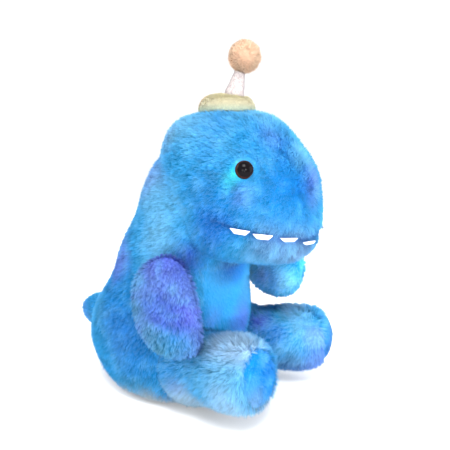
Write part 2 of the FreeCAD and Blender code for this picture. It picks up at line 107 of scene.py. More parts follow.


# Spots of a node, of dye and of painted glow and shade: place in its box as fractions, reach in
# millimetres, dye, strength.
HEAD_SPOTS = [
    ("head_panel_right",
     # the next two spots: pale dye on the crown, partly painted light from above
     ((0.45, 0.75, 0.98), 26, "sky", 0.9),
     ((0.30, 0.95, 0.85), 24, "ice", 0.7),
     ((0.30, 0.98, 0.40), 22, "sky", 0.8)),
    ("neck_panel_right",
     ((0.25, 0.95, 0.35), 22, "ice", 0.6)),
    ("head_gusset",
     # pale dye on the crown, partly painted light from above
     ((0.50, 0.40, 0.95), 24, "sky", 0.8)),
    ("neck_panel_right",
     ((0.45, 0.60, 0.80), 24, "lilac", 0.55),
     ((0.15, 0.40, 0.55), 26, "sky", 0.6)),
    ("head_panel_right",
     ((0.05, 0.42, 0.34), 25, "cerulean", 0.95),
     # deep blue at the cheek, partly painted shade
     ((0.10, 0.42, 0.12), 18, "deep_and_painted_shade", 0.75),
     ((0.70, 0.08, 0.40), 20, "cerulean", 0.95)),
    ("head_gusset",
     ((0.50, 0.08, 0.62), 15, "sky", 0.75),
     ((0.60, 0.03, 0.46), 12, "periwinkle", 0.75),
     ((0.50, 0.01, 0.34), 12, "lilac", 0.35)),
    ("head_panel_right",
     # painted glow of the right cheek light, beside the eye
     ((0.16, 0.32, 0.49), 9, "painted_glow_cyan", 0.95),
     ((0.20, 0.25, 0.34), 10, "periwinkle", 0.45),
     ((0.42, 0.14, 0.06), 16, "grey_blue", 0.35),
     ((0.75, 0.20, 0.80), 14, "periwinkle", 0.45)),
    ("neck_panel_right",
     # painted glow of the cheek light on the shoulder, in the sky dye
     ((0.10, 0.40, 0.28), 20, "sky", 0.80),
     ((0.16, 0.18, 0.12), 15, "indigo", 0.75),
     # painted shade beneath the jaw
     ((0.75, 0.04, 0.05), 18, "painted_shade_navy", 0.80),
     ((0.10, 0.80, 0.10), 20, "periwinkle", 0.80)),
    ("jaw_panel",
     # deep blue at the back of the jaw, partly painted shade
     ((0.05, 0.70, 0.55), 20, "deep_and_painted_shade", 0.40),
     ((0.20, 0.18, 0.42), 22, "grey_blue", 0.70),
     ((0.40, 0.05, 0.25), 24, "grey_blue", 0.95)),
    ("head_panel_left",
     ((0.95, 0.40, 0.40), 30, "cerulean", 0.80),
     # painted glow of the left cheek light, beside the eye
     ((0.84, 0.32, 0.49), 9, "painted_glow_cyan", 0.95),
     ((0.60, 0.80, 0.90), 26, "lilac", 0.60)),
    ("neck_panel_left",
     ((0.80, 0.60, 0.50), 28, "sky", 0.60),
     ((0.30, 0.95, 0.40), 26, "periwinkle", 0.60)),
]
TORSO_SPOTS = [
    ("back_panel_right",
     ((0.28, 0.57, 0.97), 17, "violet", 0.75),
     ((0.10, 0.48, 0.75), 28, "cerulean", 0.90),
     # deep blue on the torso's side, partly painted shade
     ((0.03, 0.42, 0.50), 30, "deep_and_painted_shade", 0.60),
     ((0.10, 0.40, 0.12), 20, "teal", 0.60),
     ((0.10, 0.40, 0.02), 16, "ice", 0.70),
     ((0.60, 0.90, 0.60), 30, "sky", 0.45),
     ((0.50, 0.95, 0.25), 26, "violet", 0.55)),
    ("back_panel_left",
     ((0.70, 0.50, 0.70), 30, "cerulean", 0.70),
     ((0.40, 0.92, 0.80), 26, "periwinkle", 0.60),
     ((0.80, 0.40, 0.20), 26, "violet", 0.50)),
    ("belly_panel",
     ((0.20, 0.20, 0.90), 22, "sky", 0.15),
     # painted shade: the deep blue in the crease under the chin
     ((0.50, 0.04, 0.99), 15, "deep_and_painted_shade", 0.70),
     ((0.55, 0.04, 0.58), 18, "violet", 0.55),
     ((0.05, 0.20, 0.66), 12, "periwinkle", 0.50)),
]
ARM_SPOTS = [
    ("arm_outer_panel_right",
     ((0.50, 0.60, 0.93), 15, "violet", 0.60),
     ((0.70, 0.34, 0.84), 13, "indigo", 0.45),
     ((0.30, 0.95, 0.75), 11, "sky", 0.50),
     ((0.30, 0.35, 0.20), 19, "azure", 0.80),
     ((0.18, 0.52, 0.53), 13, "indigo", 0.75),
     ((0.40, 0.26, 0.45), 15, "indigo", 0.90),
     ((0.65, 0.14, 0.48), 12, "violet", 0.90),
     ((0.08, 0.92, 0.45), 13, "teal", 0.80),
     ((0.04, 0.65, 0.25), 11, "teal", 0.70),
     ((0.12, 0.45, 0.08), 12, "teal", 0.85)),
    ("arm_inner_panel_left",
     # the two deep blue spots: partly painted shade on the far arm's inner side
     ((0.10, 0.40, 0.45), 15, "deep_and_painted_shade", 0.60),
     ((0.44, 0.63, 0.31), 14, "deep_and_painted_shade", 0.70),
     ((0.12, 0.18, 0.45), 12, "sky", 0.50)),
    ("arm_outer_panel_left",
     ((0.70, 0.50, 0.50), 20, "violet", 0.60)),
]
LEG_SPOTS = [
    ("leg_panel_right",
     ((0.28, 0.16, 0.97), 22, "ice", 0.80),
     ((0.35, 0.34, 0.97), 20, "ice", 0.80),
     ((0.12, 0.75, 0.62), 22, "cerulean", 0.85),
     ((0.05, 0.20, 0.72), 13, "sky", 0.60),
     ((0.03, 0.22, 0.42), 15, "ice", 0.60),
     ((0.08, 0.55, 0.12), 18, "ice", 0.75),
     ((0.10, 0.12, 0.20), 18, "ice", 0.60),
     ((0.09, 0.66, 0.34), 10, "lilac", 0.40)),
    ("leg_panel_left",
     ((0.29, 0.51, 0.84), 12, "indigo", 0.90),
     # deep blue on the far leg, partly painted shade
     ((0.30, 0.38, 0.66), 13, "deep_and_painted_shade", 0.80),
     ((0.61, 0.30, 0.99), 14, "ice", 0.55),
     ((0.45, 0.17, 0.85), 14, "sky", 0.60),
     ((0.46, 0.05, 0.66), 11, "periwinkle", 0.80),
     # painted contact shadow low on the far leg
     ((0.36, 0.20, 0.20), 22, "painted_shade_dusk", 0.95),
     ((0.60, 0.04, 0.30), 20, "violet", 0.70)),
]
SOLE_SPOTS = [
    ("sole_panel_right",
     ((0.30, 0.45, 0.20), 10, "ice", 0.40),
     # deep blue on the sole, partly painted shade
     ((0.70, 0.30, 0.60), 12, "deep_and_painted_shade", 0.40)),
    ("sole_panel_left",
     # painted contact shadow on the far sole
     ((0.60, 0.40, 0.35), 22, "painted_shade_dusk", 0.80)),
]
TAIL_SPOTS = [("tail_panel_right", ((0.40, 0.90, 0.50), 16, "periwinkle", 0.50))]


# ------------------------ fields
# Numbers that scramble a grid cell and a seed into a random value.
CELL_PRIMES = np.array((73856093, 19349663, 83492791))
SEED_STEP = 1013
SEED_SHIFT = 7.31
SCRAMBLE = 1274126177
POSITIVE = 0x7FFFFFFF
LEVELS = 65536

# Dyes that drift through the ground: dye, width of its clouds, seed, strength.
DRIFTS = (("sky", 30 * MM, 11, 0.32), ("cerulean", 26 * MM, 12, 0.5))
WARP_SIZE = 16 * MM         # a spot's outline wanders over this distance
WARP_REACH = 5              # and this far, in millimetres
FLECK_SIZE = 7 * MM
FLECK_SHADE = 0.72          # a dark fleck keeps this share of its colour
FLECK_PALE = 0.45           # strength of a pale fleck
FLOOR_GREYING = 0.9                  # strength of the pale grey near the floor


def cloud(points, size, seed=0):
    """A smooth random field from -1 to 1 whose features are about as wide as size."""
    place = points / size + seed * SEED_SHIFT
    cell = np.floor(place).astype(np.int64)
    part = place - cell
    part = part * part * (3 - 2 * part)
    total = np.zeros(len(points))
    for corner in product((0, 1), repeat=3):
        key = (cell + corner) @ CELL_PRIMES + seed * SEED_STEP
        key = (key ^ (key >> 13)) * SCRAMBLE & POSITIVE
        value = (key ^ (key >> 15)) % LEVELS / (LEVELS / 2) - 1
        total += value * np.prod(np.where(corner, part, 1 - part), axis=1)
    return total


def cloud_vectors(points, size, seed):
    return np.stack([cloud(points, size, seed + k) for k in range(3)], axis=1)


def unit(vectors):
    return vectors / np.maximum(np.linalg.norm(vectors, axis=1, keepdims=True), 1e-9)


def mix(a, b, amount):
    return a + (b - a) * amount[:, None]


def within(node, fractions):
    """The point at these fractions of a CAD node's box."""
    low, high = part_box(node)
    return np.array([low[k] + (high[k] - low[k]) * fractions[k] for k in range(3)])


def centre(node):
    return within(node, (0.5, 0.5, 0.5))


def tinted(points, ground, spots, mist=0.0, mottle=1.0):
    """Colour of the cloth at each point: a ground dye, two dyes drifting through it, then the spots,
    painted glow and shade among them.

    Mottle is the strength of the small flecks. About the mist height, in millimetres, and below it
    the pile turns pale grey.
    """
    warped = points + cloud_vectors(points, WARP_SIZE, 3) * WARP_REACH * MM
    colour = np.tile(tint(ground), (len(points), 1))
    for name, size, seed, strength in DRIFTS:
        colour = mix(colour, tint(name), strength * np.clip(cloud(points, size, seed) * 1.6, 0, 1))
    for node, *marks in spots:
        for place, reach, name, strength in marks:
            gap = np.linalg.norm(warped - within(node, place), axis=1) / (reach * MM)
            colour = mix(colour, tint(name), strength * np.exp(-gap**3))
    flecks = cloud(warped, FLECK_SIZE, 13) * mottle
    colour = mix(colour, colour * FLECK_SHADE, np.clip(flecks, 0, 1))
    colour = mix(colour, tint("sky"), FLECK_PALE * np.clip(-flecks, 0, 1))
    if mist:
        colour = mix(colour, tint("mist"), FLOOR_GREYING * np.clip(1.3 - warped[:, 2] / (mist * MM), 0, 1))
    return colour


# ------------------------ stuffed forms
SEAM_REACH = 1.8            # a larger value makes a seam wider
SNOUT_FADE = 60 * MM        # the body's seams flatten over this distance towards the snout's tip
MOUTH_FADE = 20 * MM        # the mouth ends over this distance behind the middle of the jaw
MOUTH_RISE = 12 * MM        # and lies at least this far above the jaw's lowest point
STUD_FADE = 6 * MM          # from the flat cloth round an eye to the full depth
CASTING = Vector((0.12, 0.31, 0.94))    # any slanted way serves to tell inside from outside
NUDGE = 1e-5                # past a crossing, so that it isn't counted twice


def raw_mesh(name, nodes):
    """One mesh holding copies of these CAD nodes."""
    cloth = bmesh.new()
    for node in nodes:
        cloth.from_mesh(frame["nodes"][node].data)
    mesh = bpy.data.meshes.new(name)
    cloth.to_mesh(mesh)
    cloth.free()
    return mesh


def baked(piece, name):
    """The mesh of an object with its modifiers applied."""
    graph = bpy.context.evaluated_depsgraph_get()
    mesh = bpy.data.meshes.new_from_object(piece.evaluated_get(graph))
    mesh.name = name
    return mesh


def show(name, data):
    """Puts a mesh, a lamp or a camera into the scene."""
    piece = bpy.data.objects.new(name, data)
    bpy.context.scene.collection.objects.link(piece)
    return piece


def array_of(mesh, what="co"):
    values = np.empty(len(mesh.vertices) * 3, np.float32)
    mesh.vertices.foreach_get(what, values)
    return values.reshape(-1, 3).astype(float)


def edge_ends(mesh):
    """The point numbers at the two ends of every edge."""
    edges = np.empty(len(mesh.edges) * 2, np.int32)
    mesh.edges.foreach_get("vertices", edges)
    return edges.reshape(-1, 2).T


def shells_of(mesh):
    """For each point, the number of the loose shell it belongs to."""
    a, b = edge_ends(mesh)
    label = np.arange(len(mesh.vertices))
    while True:
        lowest = np.minimum(label[a], label[b])
        before = label.copy()
        np.minimum.at(label, a, lowest)
        np.minimum.at(label, b, lowest)
        label = label[label]
        if np.array_equal(before, label):
            return label


def largest_island(mesh):
    """Drops every loose shell but the biggest, such as the wall of a cavity inside the stuffing."""
    label = shells_of(mesh)
    names, counts = np.unique(label, return_counts=True)
    keep = label == names[np.argmax(counts)]
    cloth = bmesh.new()
    cloth.from_mesh(mesh)
    loose = [v for v, kept in zip(list(cloth.verts), keep) if not kept]
    bmesh.ops.delete(cloth, geom=loose, context="VERTS")
    cloth.to_mesh(mesh)
    cloth.free()


def stuffed(name, nodes, voxel=VOXEL, rounds=5, shells="largest"):
    """A closed, softened form round these CAD nodes."""
    piece = show(name, raw_mesh(name, nodes))
    remesh = piece.modifiers.new("Remesh", "REMESH")
    remesh.mode = "VOXEL"
    remesh.voxel_size = voxel
    soften = piece.modifiers.new("Soften", "SMOOTH")
    soften.factor = 0.6
    soften.iterations = rounds
    mesh = baked(piece, name)
    piece.modifiers.clear()
    piece.data = mesh
    if shells == "largest":
        largest_island(mesh)
    mesh.shade_smooth()
    return piece


def nearest_panel(points, panels):
    """For each point, the place in the list of the panel that lies nearest."""
    graph = bpy.context.evaluated_depsgraph_get()
    trees = [BVHTree.FromObject(frame["nodes"][panel], graph) for panel in panels]
    gaps = [[tree.find_nearest(p)[3] or 0 for p in map(Vector, points)] for tree in trees]
    return np.argmin(np.array(gaps), axis=0)


def move_points(mesh, points):
    mesh.vertices.foreach_set("co", points.astype(np.float32).ravel())
    mesh.update()


def spread(mesh, values, rounds):
    """Values at the points, averaged with their neighbours a few times."""
    a, b = edge_ends(mesh)
    many = len(values)
    count = np.bincount(a, minlength=many) + np.bincount(b, minlength=many) + 1
    for _ in range(rounds):
        total = values + np.bincount(a, values[b], many) + np.bincount(b, values[a], many)
        values = total / count
    return values


def seam_weights(mesh, panel):
    """1 at a point where two panels meet, fading over a few points."""
    a, b = edge_ends(mesh)
    seam = np.zeros(len(panel))
    crossing = panel[a] != panel[b]
    seam[a[crossing]] = 1
    seam[b[crossing]] = 1
    return np.minimum(spread(mesh, seam, 2) * SEAM_REACH, 1)


def sew(piece, panels, inset=INSET, lump=LUMP, mouth=None, studs=(), cloths=None):
    """Sinks the cloth below the pile, draws it in along its seams and makes the stuffing uneven.

    Cloths numbers the piece of cloth that each panel belongs to, where several panels carry on as one.
    """
    mesh = piece.data
    points = array_of(mesh)
    normals = array_of(mesh, "normal")
    panel = nearest_panel(points, panels)
    seam = seam_weights(mesh, panel if cloths is None else np.array(cloths)[panel])
    if "head_gusset" in panels:
        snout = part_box("head_gusset")[0][1]
        seam *= np.clip((points[:, 1] - snout) / SNOUT_FADE, 0.1, 1)
    depth = inset + SEAM_DEPTH * seam - lump * cloud(points, LUMP_SIZE, 21)
    lip = np.zeros(len(points))
    if mouth is not None:
        lip = seam_weights(mesh, (panel == panels.index(mouth)).astype(int))
        low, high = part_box(mouth)
        in_front = np.clip((0.5 * (low[1] + high[1]) - points[:, 1]) / MOUTH_FADE + 1, 0, 1)
        lip *= in_front * (points[:, 2] > low[2] + MOUTH_RISE)
        depth += (MOUTH_DEPTH - SEAM_DEPTH) * lip
    for stud in studs:
        gap = np.linalg.norm(points - centre(stud), axis=1)
        depth *= np.clip((gap - STUD_REACH) / STUD_FADE, 0, 1)
    points = points - normals * depth[:, None]
    move_points(mesh, points)
    return {"piece": piece, "mesh": mesh, "points": points, "normals": array_of(mesh, "normal"),
            "panels": panels, "panel": panel, "seam": seam, "lip": lip,
            "density": np.ones(len(points)), "pile": np.ones(len(points))}


def is_inside(tree, point):
    """True where a straight line out of the closed mesh crosses it an odd number of times."""
    crossings = 0
    start = Vector(point)
    while True:
        place, _, _, _ = tree.ray_cast(start, CASTING)
        if place is None:
            return crossings % 2 == 1
        crossings += 1
        start = place + CASTING * NUDGE


def hide_where_covered(form, others, reach=2 * MM):
    """No pile grows where another stuffed form lies over the cloth."""
    graph = bpy.context.evaluated_depsgraph_get()
    probes = form["points"] + form["normals"] * reach
    for other in others:
        tree = BVHTree.FromObject(other["piece"], graph)
        low, high = other["points"].min(axis=0), other["points"].max(axis=0)
        near = np.all((probes > low) & (probes < high), axis=1)
        for k in np.flatnonzero(near):
            if is_inside(tree, probes[k]):
                form["density"][k] = 0


def store(mesh, name, kind, values):
    attribute = mesh.attributes.new(name, kind, "POINT")
    field = "color" if kind == "FLOAT_COLOR" else "vector"
    attribute.data.foreach_set(field, values.astype(np.float32).ravel())


def paint(mesh, colour):
    """Stores the colour at each point, with its painted glow and shade."""
    store(mesh, "tint", "FLOAT_COLOR", np.hstack([colour, np.ones((len(colour), 1))]))


def cover(piece, material):
    """Gives a piece this material and no other."""
    piece.data.materials.clear()
    piece.data.materials.append(material)


# ------------------------ materials
THROUGH = 0.32                      # share of the light that comes through a strand
PAINTED_TIP_LIGHT = (0.45, 0.82, 0.95, 1)   # painted light: the pale colour at a fibre's end
FIBRE_GRAIN = 260                   # texture scales: a larger one is finer
KNIT_SCALE = 900
FLAKE_SCALE = 1400
BUMP_DEPTH = 0.3 * MM


def new_material(name):
    material = bpy.data.materials.new(name)
    material.use_nodes = True
    tree = material.node_tree
    return material, tree, tree.nodes["Principled BSDF"]


def set_values(shader, **values):
    for name, value in values.items():
        shader.inputs[name.replace("_", " ")].default_value = value


def node(tree, kind, **fields):
    made = tree.nodes.new(kind)
    for name, value in fields.items():
        setattr(made, name, value)
    return made


def attribute(tree, name, kind):
    return node(tree, "ShaderNodeAttribute", attribute_name=name).outputs[kind]


def feed(tree, value, socket):
    """Links an output to an input, or sets the input to a plain value."""
    if isinstance(value, bpy.types.NodeSocket):
        tree.links.new(value, socket)
    else:
        socket.default_value = value


def blend_colour(tree, factor, a, b, mode="MIX"):
    made = node(tree, "ShaderNodeMix", data_type="RGBA", blend_type=mode)
    for place, value in ((0, factor), (6, a), (7, b)):
        feed(tree, value, made.inputs[place])
    return made.outputs[2]


def calculate(tree, how, a, b=0.0, c=None):
    made = node(tree, "ShaderNodeMath", operation=how)
    for place, value in enumerate((a, b) if c is None else (a, b, c)):
        feed(tree, value, made.inputs[place])
    return made.outputs[0]


def times_varied(tree, value, source, swing, base):
    """The value times a source that is scaled to swing above a base."""
    return calculate(tree, "MULTIPLY", value, calculate(tree, "MULTIPLY_ADD", source, swing, base))


def noise(tree, scale, detail=3.0):
    place = node(tree, "ShaderNodeTexCoord")
    made = node(tree, "ShaderNodeTexNoise")
    made.inputs["Scale"].default_value = scale
    made.inputs["Detail"].default_value = detail
    tree.links.new(place.outputs["Object"], made.inputs["Vector"])
    return made.outputs["Fac"]


def add_bump(tree, shader, height, strength, distance=BUMP_DEPTH):
    bump = node(tree, "ShaderNodeBump")
    bump.inputs["Strength"].default_value = strength
    bump.inputs["Distance"].default_value = distance
    tree.links.new(height, bump.inputs["Height"])
    tree.links.new(bump.outputs["Normal"], shader.inputs["Normal"])


def fur_material(name, root, tip=0.16, patchy=0.16):
    """Dyed fibre, darker at the root as painted shade and paler towards the tip as painted light,
    each strand and tuft a little different.

    A share of the light comes through a strand from behind it.
    """
    material, tree, shader = new_material(name)
    colour = attribute(tree, "tint", "Color")
    strand = attribute(tree, "strand", "Vector")
    split = node(tree, "ShaderNodeSeparateXYZ")
    tree.links.new(strand, split.inputs[0])
    height, chance, tuft = split.outputs
    # painted shade: a strand darkens towards its root, where the strands shade each other
    shade = calculate(tree, "MULTIPLY_ADD", calculate(tree, "POWER", height, 0.7), 1 - root, root)
    shade = times_varied(tree, shade, chance, 0.16, 0.94)
    shade = times_varied(tree, shade, tuft, patchy, 1 - patchy / 2)
    shade = times_varied(tree, shade, noise(tree, FIBRE_GRAIN), 0.16, 0.92)
    dark = blend_colour(tree, 1.0, colour, shade, "MULTIPLY")
    # painted light: a strand grows paler towards its tip
    pale = calculate(tree, "MULTIPLY", calculate(tree, "POWER", height, 2.2), tip)
    pale = times_varied(tree, pale, chance, 0.8, 0.5)
    fibre = blend_colour(tree, pale, dark, PAINTED_TIP_LIGHT)
    tree.links.new(fibre, shader.inputs["Base Color"])
    set_values(shader, Roughness=0.85, Specular_IOR_Level=0.05)
    behind = node(tree, "ShaderNodeBsdfTranslucent")
    tree.links.new(fibre, behind.inputs["Color"])
    both = node(tree, "ShaderNodeMixShader")
    both.inputs[0].default_value = THROUGH
    tree.links.new(shader.outputs[0], both.inputs[1])
    tree.links.new(behind.outputs[0], both.inputs[2])
    tree.links.new(both.outputs[0], tree.nodes["Material Output"].inputs["Surface"])
    return material


def cloth_material(name):
    """Knitted backing cloth under the pile, in the colour of the pile, darker overall as painted shade.
    """
    material, tree, shader = new_material(name)
    colour = attribute(tree, "tint", "Color")
    knit = noise(tree, KNIT_SCALE, 4.0)
    # the knit varies the tone, and the whole is darkened as painted shade under the pile
    tone = calculate(tree, "MULTIPLY_ADD", knit, 0.425, 0.6375)
    tree.links.new(blend_colour(tree, 1.0, colour, tone, "MULTIPLY"), shader.inputs["Base Color"])
    set_values(shader, Roughness=0.9, Specular_IOR_Level=0.1)
    add_bump(tree, shader, knit, 0.5, 0.4 * MM)
    return material


def speckled(name, colour, other, scale, rough, metal=0.0, bump=0.1, coat=0.0, spec=0.5):
    """A solid whose colour drifts between two near tones, with a fine surface grain."""
    material, tree, shader = new_material(name)
    grain = noise(tree, scale, 5.0)
    tone = blend_colour(tree, grain, rgba(colour), rgba(other))
    tree.links.new(tone, shader.inputs["Base Color"])
    set_values(shader, Roughness=rough, Metallic=metal, Coat_Weight=coat, Specular_IOR_Level=spec)
    if bump:
        add_bump(tree, shader, grain, bump)
    return material


# ------------------------ pile
TUFT_KEY = np.array((1, 4099, 16785407))    # gives each cell of a grid its own number
TUFT_WARP = (2.2, 0.7)      # size and reach of the tufts' unevenness, in tufts
WANDER = 0.24               # how far a strand strays from its tuft's way
CUT = (0.72, 1.12)          # the shortest and longest strand, as shares of the pile
TUFT_CUT = (0.86, 0.28)     # the shortest tuft, and how much longer a tuft can be
MIDDLE_GATHER = 0.35        # a strand's middle gathers this share as much as its tip
MIDDLE_WIDTH = 0.85         # and is this share as wide as the root
TWIST = 0.25                # how far a strand turns about its own length
CLOTH_SHADE = 0.85          # a strand is shaded this much as the cloth
OWN_SHADE = 0.3             # and this much as a strand
SHADE_NOISE = 0.08          # unevenness of that shading
AWAY = 0.9                  # how strongly a nap runs away from its start
FALL = 0.55                 # and how strongly it also hangs

# A strand has two points at the root, two in the middle and the tip. A quad and a triangle join them.
STRAND_HEIGHTS = (0.0, 0.0, 0.55, 0.55, 1.0)
STRAND_POINTS = len(STRAND_HEIGHTS)
STRAND_CORNERS = np.array((0, 1, 3, 2, 2, 3, 4))
FACE_STARTS = np.array((0, 4))
CELL_CORNERS = np.array(((0.2, 0.1), (0.8, 0.1), (0.7, 0.5), (0.3, 0.5),
                         (0.3, 0.5), (0.7, 0.5), (0.5, 0.9)))


def sample(form, choose, area):
    """Random roots on the chosen cloth: for each, three point numbers and their weights."""
    mesh = form["mesh"]
    mesh.calc_loop_triangles()
    corners = np.empty(len(mesh.loop_triangles) * 3, np.int32)
    mesh.loop_triangles.foreach_get("vertices", corners)
    corners = corners.reshape(-1, 3)
    points = form["points"]
    size = 0.5 * np.linalg.norm(np.cross(points[corners[:, 1]] - points[corners[:, 0]],
                                         points[corners[:, 2]] - points[corners[:, 0]]), axis=1)
    size = size * form["density"][corners].min(axis=1) * choose[corners[:, 0]]
    wanted = size / area
    counts = np.floor(wanted + RANDOM.random(len(wanted))).astype(int)
    picked = np.repeat(corners, counts, axis=0)
    u, v = RANDOM.random((2, len(picked)))
    folded = u + v > 1
    u[folded], v[folded] = 1 - u[folded], 1 - v[folded]
    weights = np.stack([1 - u - v, u, v], axis=1)
    return picked, weights


def carried(values, picked, weights):
    """Point values interpolated to the roots."""
    if values.ndim == 1:
        return (values[picked] * weights).sum(axis=1)
    return (values[picked] * weights[:, :, None]).sum(axis=1)


def tufted(roots, size):
    """A tuft number for each root, from a warped grid of cells."""
    warped = roots + cloud_vectors(roots, size * TUFT_WARP[0], 41) * size * TUFT_WARP[1]
    cells = np.floor(warped / size).astype(np.int64) @ TUFT_KEY
    _, tuft = np.unique(cells, return_inverse=True)
    return tuft.ravel()


def tuft_mean(values, tuft):
    count = np.bincount(tuft)
    return np.stack([np.bincount(tuft, values[:, k]) / count for k in range(3)], axis=1)[tuft]


def strands(name, roots, normals, combed, lengths, colour, width=STRAND_WIDTH, lift=(1.5, 0.9),
            tuft_size=TUFT, gather=0.34, stray=0.30):
    """A mesh of bent, tapering strands, gathered into tufts."""
    count = len(roots)
    tuft = tufted(roots, tuft_size)
    chance = RANDOM.random(tuft.max() + 1)[tuft]
    swing = RANDOM.normal(0, stray, (tuft.max() + 1, 3))[tuft]
    combed = combed + swing
    combed = unit(combed - normals * (combed * normals).sum(axis=1, keepdims=True))
    wander = RANDOM.normal(0, WANDER, (count, 3))
    lengths = lengths * RANDOM.uniform(*CUT, count) * (TUFT_CUT[0] + TUFT_CUT[1] * chance)
    first = unit(normals * lift[0] + combed + wander) * lengths[:, None] * 0.5
    second = unit(normals * lift[1] + combed + wander * 1.5) * lengths[:, None] * 0.5
    middle = roots + first
    tip = middle + second
    middle = middle + (tuft_mean(middle, tuft) - middle) * gather * MIDDLE_GATHER
    tip = tip + (tuft_mean(tip, tuft) - tip) * gather
    across = unit(np.cross(combed, normals) + RANDOM.normal(0, TWIST, (count, 3))) * width * 0.5
    points = np.stack([roots - across, roots + across, middle - across * MIDDLE_WIDTH,
                       middle + across * MIDDLE_WIDTH, tip], axis=1)
    mesh = bpy.data.meshes.new(name)
    mesh.vertices.add(count * STRAND_POINTS)
    mesh.vertices.foreach_set("co", points.astype(np.float32).ravel())
    which = np.arange(count)
    corners = which[:, None] * STRAND_POINTS + STRAND_CORNERS
    mesh.loops.add(corners.size)
    mesh.loops.foreach_set("vertex_index", corners.astype(np.int32).ravel())
    starts = which[:, None] * len(STRAND_CORNERS) + FACE_STARTS
    mesh.polygons.add(starts.size)
    mesh.polygons.foreach_set("loop_start", starts.astype(np.int32).ravel())
    mesh.polygons.foreach_set("use_smooth", np.ones(starts.size, bool))
    mesh.update(calc_edges=True)
    # Each strand has its own small cell of the bake map, next to its neighbours' cells.
    side = math.ceil(math.sqrt(count))
    cell = np.stack([which % side, which // side], axis=1)[:, None, :]
    uv = mesh.uv_layers.new(name="OFBake")
    uv.data.foreach_set("uv", ((cell + CELL_CORNERS) / side).astype(np.float32).ravel())
    # The pile is lit as one soft surface, so a strand is shaded mostly as the cloth it grows from.
    shading = unit(normals * CLOTH_SHADE + unit(tip - roots) * OWN_SHADE
                   + RANDOM.normal(0, SHADE_NOISE, (count, 3)))
    mesh.normals_split_custom_set_from_vertices(np.repeat(shading, STRAND_POINTS, axis=0))
    height = np.tile(STRAND_HEIGHTS, count)
    own = np.repeat(RANDOM.random(count), STRAND_POINTS)
    chance = np.repeat(chance, STRAND_POINTS)
    store(mesh, "strand", "FLOAT_VECTOR", np.stack([height, own, chance], axis=1))
    paint(mesh, np.repeat(colour, STRAND_POINTS, axis=0))
    return show(name, mesh)


def grow(name, form, choose, combing, colour, material, slot, length=PILE, area=STRAND_AREA, **style):
    """A coat of strands on the chosen part of a stuffed form."""
    picked, weights = sample(form, choose, area)
    roots = carried(form["points"], picked, weights)
    normals = unit(carried(form["normals"], picked, weights))
    combed = unit(carried(combing, picked, weights))
    lengths = length * carried(form["pile"], picked, weights)
    piece = strands(name, roots, normals, combed, lengths, carried(colour, picked, weights), **style)
    piece.data.materials.append(material)
    return piece


def swirls(points, strength):
    return cloud_vectors(points, SWIRL_SIZE, 51) * strength


def combed_field(form, direction, swirl=0.45):
    """The way the nap lies at each point: a main direction with slow swirls in it."""
    points = form["points"]
    return np.tile(np.array(direction), (len(points), 1)) + swirls(points, swirl)


def combed_from(form, start):
    """A nap that runs away from one point, such as the tip of the snout, and downwards."""
    points = form["points"]
    return unit(points - start) * AWAY + np.array(DOWN) * FALL + swirls(points, 0.35)


# root is how bright a strand stays at its root under the painted shade; tip is the strength of the
# painted light at its end
FUR = fur_material("long_pile", root=0.52, tip=0.18, patchy=0.34)
LIMB_FUR = fur_material("limb_pile", root=0.46, tip=0.30, patchy=0.36)
SHORT_FUR = fur_material("short_pile", root=0.76)
HAT_FUR = fur_material("hat_pile", root=0.88, tip=0.0)
YARN = fur_material("cut_yarn", root=0.90, tip=0.0)
CLOTH = cloth_material("knitted_backing")


def fix(piece, body, slot, *nodes):
    """Lets a piece ride on a body, and hides the CAD nodes it stands for."""
    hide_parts(*nodes)
    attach(piece, body)


def finish_form(form, colour, slot, *nodes, fill=0.85):
    """Colours the backing cloth and hides the CAD nodes that the stuffed form stands for."""
    piece = form["piece"]
    paint(piece.data, colour)
    cover(piece, CLOTH)
    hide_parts(*nodes)


# ------------------------ stuffed forms of this toy
# Panel: coat, length and material of its pile, square millimetres of cloth per strand.
BODY_COATS = {
    "belly_panel": ("belly_coat", SHORT_PILE * 1.15, SHORT_FUR, 0.50),
    "back_panel_right": ("back_coat_right", PILE, FUR, 0.55),
    "back_panel_left": ("back_coat_left", PILE, FUR, 0.55),
    "base_panel": ("base_coat", SHORT_PILE * 0.5, SHORT_FUR, 1.60),
    "head_panel_right": ("head_coat_right", PILE * 0.9, FUR, 0.42),
    "head_panel_left": ("head_coat_left", PILE * 0.9, FUR, 0.42),
    "head_gusset": ("head_gusset_coat", PILE * 0.9, FUR, 0.42),
    "jaw_panel": ("jaw_coat", PILE, FUR, 0.42),
    "neck_panel_right": ("neck_coat_right", PILE, FUR, 0.50),
    "neck_panel_left": ("neck_coat_left", PILE, FUR, 0.50),
}
BODY_CLOTHS = (0, 1, 2, 3, 1, 2, 4, 5, 1, 2)    # each side's back, neck and head panels are one cloth
NECK_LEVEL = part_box("neck_panel_right")[0][2]
CHIN_FADE = 12 * MM         # the combing changes over this height at the neck
FLAT_REACH = 12 * MM        # cloth this near to the plane of a flat panel bulges with it
FLAP_HEM = 0.8 * MM         # the cloth is bare under the flap, but for this much of its edge
FLAP_REACH = 30 * MM        # bare cloth lies at most this far in front of the flap
SEAM_CUT = 0.22             # the pile is shorter by this share at a seam
LIP_CUT = 0.45              # and by this share at the mouth
FLOOR_FADE = 10 * MM        # below this height the pile is pressed shorter
EYE_FADE = (6 * MM, 8 * MM)     # the pile grows longer from here, over this distance
SMOOTH_BELLY = 0.15         # strength of the flecks there
ARM_NAP = {"right": 1.0, "left": -0.7}      # along the arm, or back towards the shoulder
ARM_FALL = Vector((0, 0, -0.5))
LEG_MIST = {"right": 30, "left": 8}
LEG_NAP = (0, 0.60, -0.80)
LIMB_GATHER = 0.5
LIMB_JOINTS = {joint["child"]: Vector(joint["pos_m"]) for joint in frame["joints"] if "pos_m" in joint}


def panel_mask(form, name):
    return form["panel"] == form["panels"].index(name)


